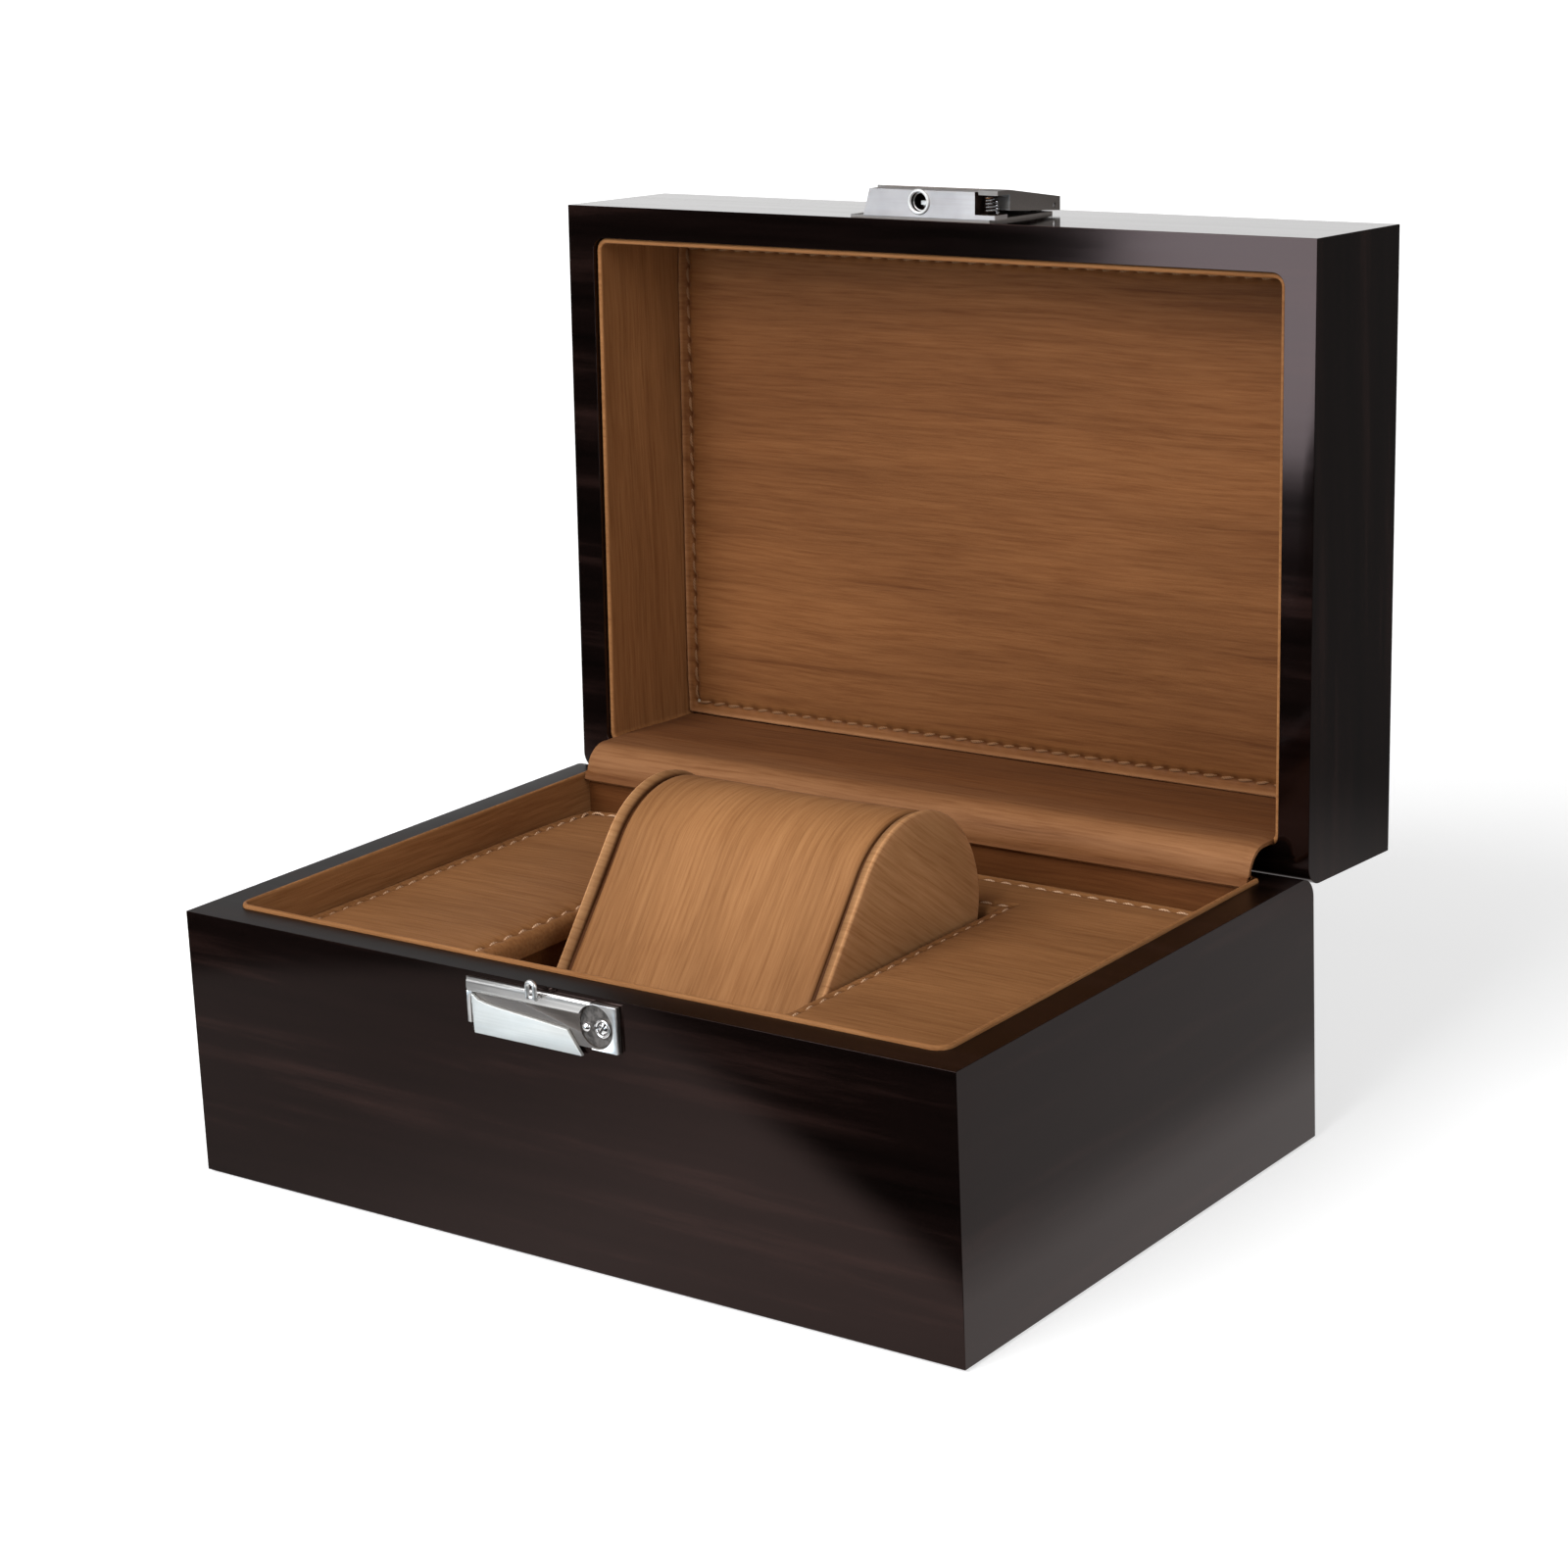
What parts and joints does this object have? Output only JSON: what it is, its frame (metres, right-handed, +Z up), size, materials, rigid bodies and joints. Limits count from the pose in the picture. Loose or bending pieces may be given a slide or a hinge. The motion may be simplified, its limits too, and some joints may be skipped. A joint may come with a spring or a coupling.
{
  "type": "watch box",
  "caption": "Hinged lacquered wooden box with a leather-lined tray, lift-out watch pillow, padded lid and push-button latch.",
  "frame": {"origin": "middle of the underside, on the surface the box stands on", "axes": "+X to the box's right, +Y to the rear where the lid is hinged, +Z up; the lid is modelled open"},
  "size_m": [0.2, 0.1828, 0.2031],
  "materials": {
    "lacquer": "dark brown wood under a high-gloss lacquer",
    "leather": "brown smooth leather with a brushed grain",
    "leather_edge": "lighter tan leather on the edges",
    "leather_dark": "brown leather in the well",
    "board": "plain grey-brown board",
    "foam": "soft foam filling",
    "felt": "black felt",
    "chrome": "polished",
    "brass": "satin"
  },
  "bodies": {
    "base": {"base_front_wall": "lacquer", "base_rear_wall": "lacquer", "base_left_wall": "lacquer", "base_right_wall": "lacquer", "base_floor": "lacquer", "base_felt": "felt", "base_lining_front": "leather", "base_lining_rear": "leather", "base_lining_left": "leather", "base_lining_right": "leather", "tray_board": "board", "tray_pad": "leather", "well_front_wall": "leather_dark", "well_rear_wall": "leather_dark", "well_left_wall": "leather_dark", "well_right_wall": "leather_dark", "well_floor_pad": "leather_dark", "catch_plate": "chrome", "catch_blade": "chrome", "catch_lug": "chrome", "catch_screws": "chrome", "catch_rivet": "chrome", "base_leaf_left": "brass", "base_leaf_right": "brass", "base_leaf_screws": "brass", "hinge_pin_left": "brass", "hinge_pin_right": "brass", "hinge_flap": "leather"},
    "lid": {"lid_front_wall": "lacquer", "lid_rear_wall": "lacquer", "lid_left_wall": "lacquer", "lid_right_wall": "lacquer", "lid_top_panel": "lacquer", "lid_lining_front": "leather", "lid_lining_rear": "leather", "lid_lining_left": "leather", "lid_lining_right": "leather", "lid_pad_board": "board", "lid_pad": "leather", "lid_leaf_left": "brass", "lid_leaf_right": "brass", "lid_leaf_screws": "brass", "lock_plate": "chrome", "lock_housing": "chrome", "lock_screws": "chrome", "button_pin": "chrome", "button_spring": "chrome"},
    "button": {"button_cover": "chrome", "latch_tongue": "chrome"},
    "pillow": {"pillow_core": "foam", "pillow_wrap": "leather", "pillow_cap_left": "leather_edge", "pillow_cap_right": "leather_edge"}
  },
  "joints": [
    {"name": "lid_hinge", "type": "hinge", "parent": "base", "child": "lid", "pos_m": [0, 0.0668, 0.0604], "axis": [1, 0, 0], "range_deg": [0, 92.4], "deforming": ["hinge_flap"]},
    {"name": "button_press", "type": "hinge", "parent": "lid", "child": "button", "pos_m": [0, 0.09806, 0.19736], "axis": [1, 0, 0], "range_deg": [0, 5], "stiffness_Nm_per_rad": 0.25, "springref_deg": -8.59, "deforming": ["button_spring"]},
    {"name": "pillow_lift", "type": "slide", "parent": "base", "child": "pillow", "axis": [0, 0, 1], "range_m": [0, 0.009]}
  ]
}
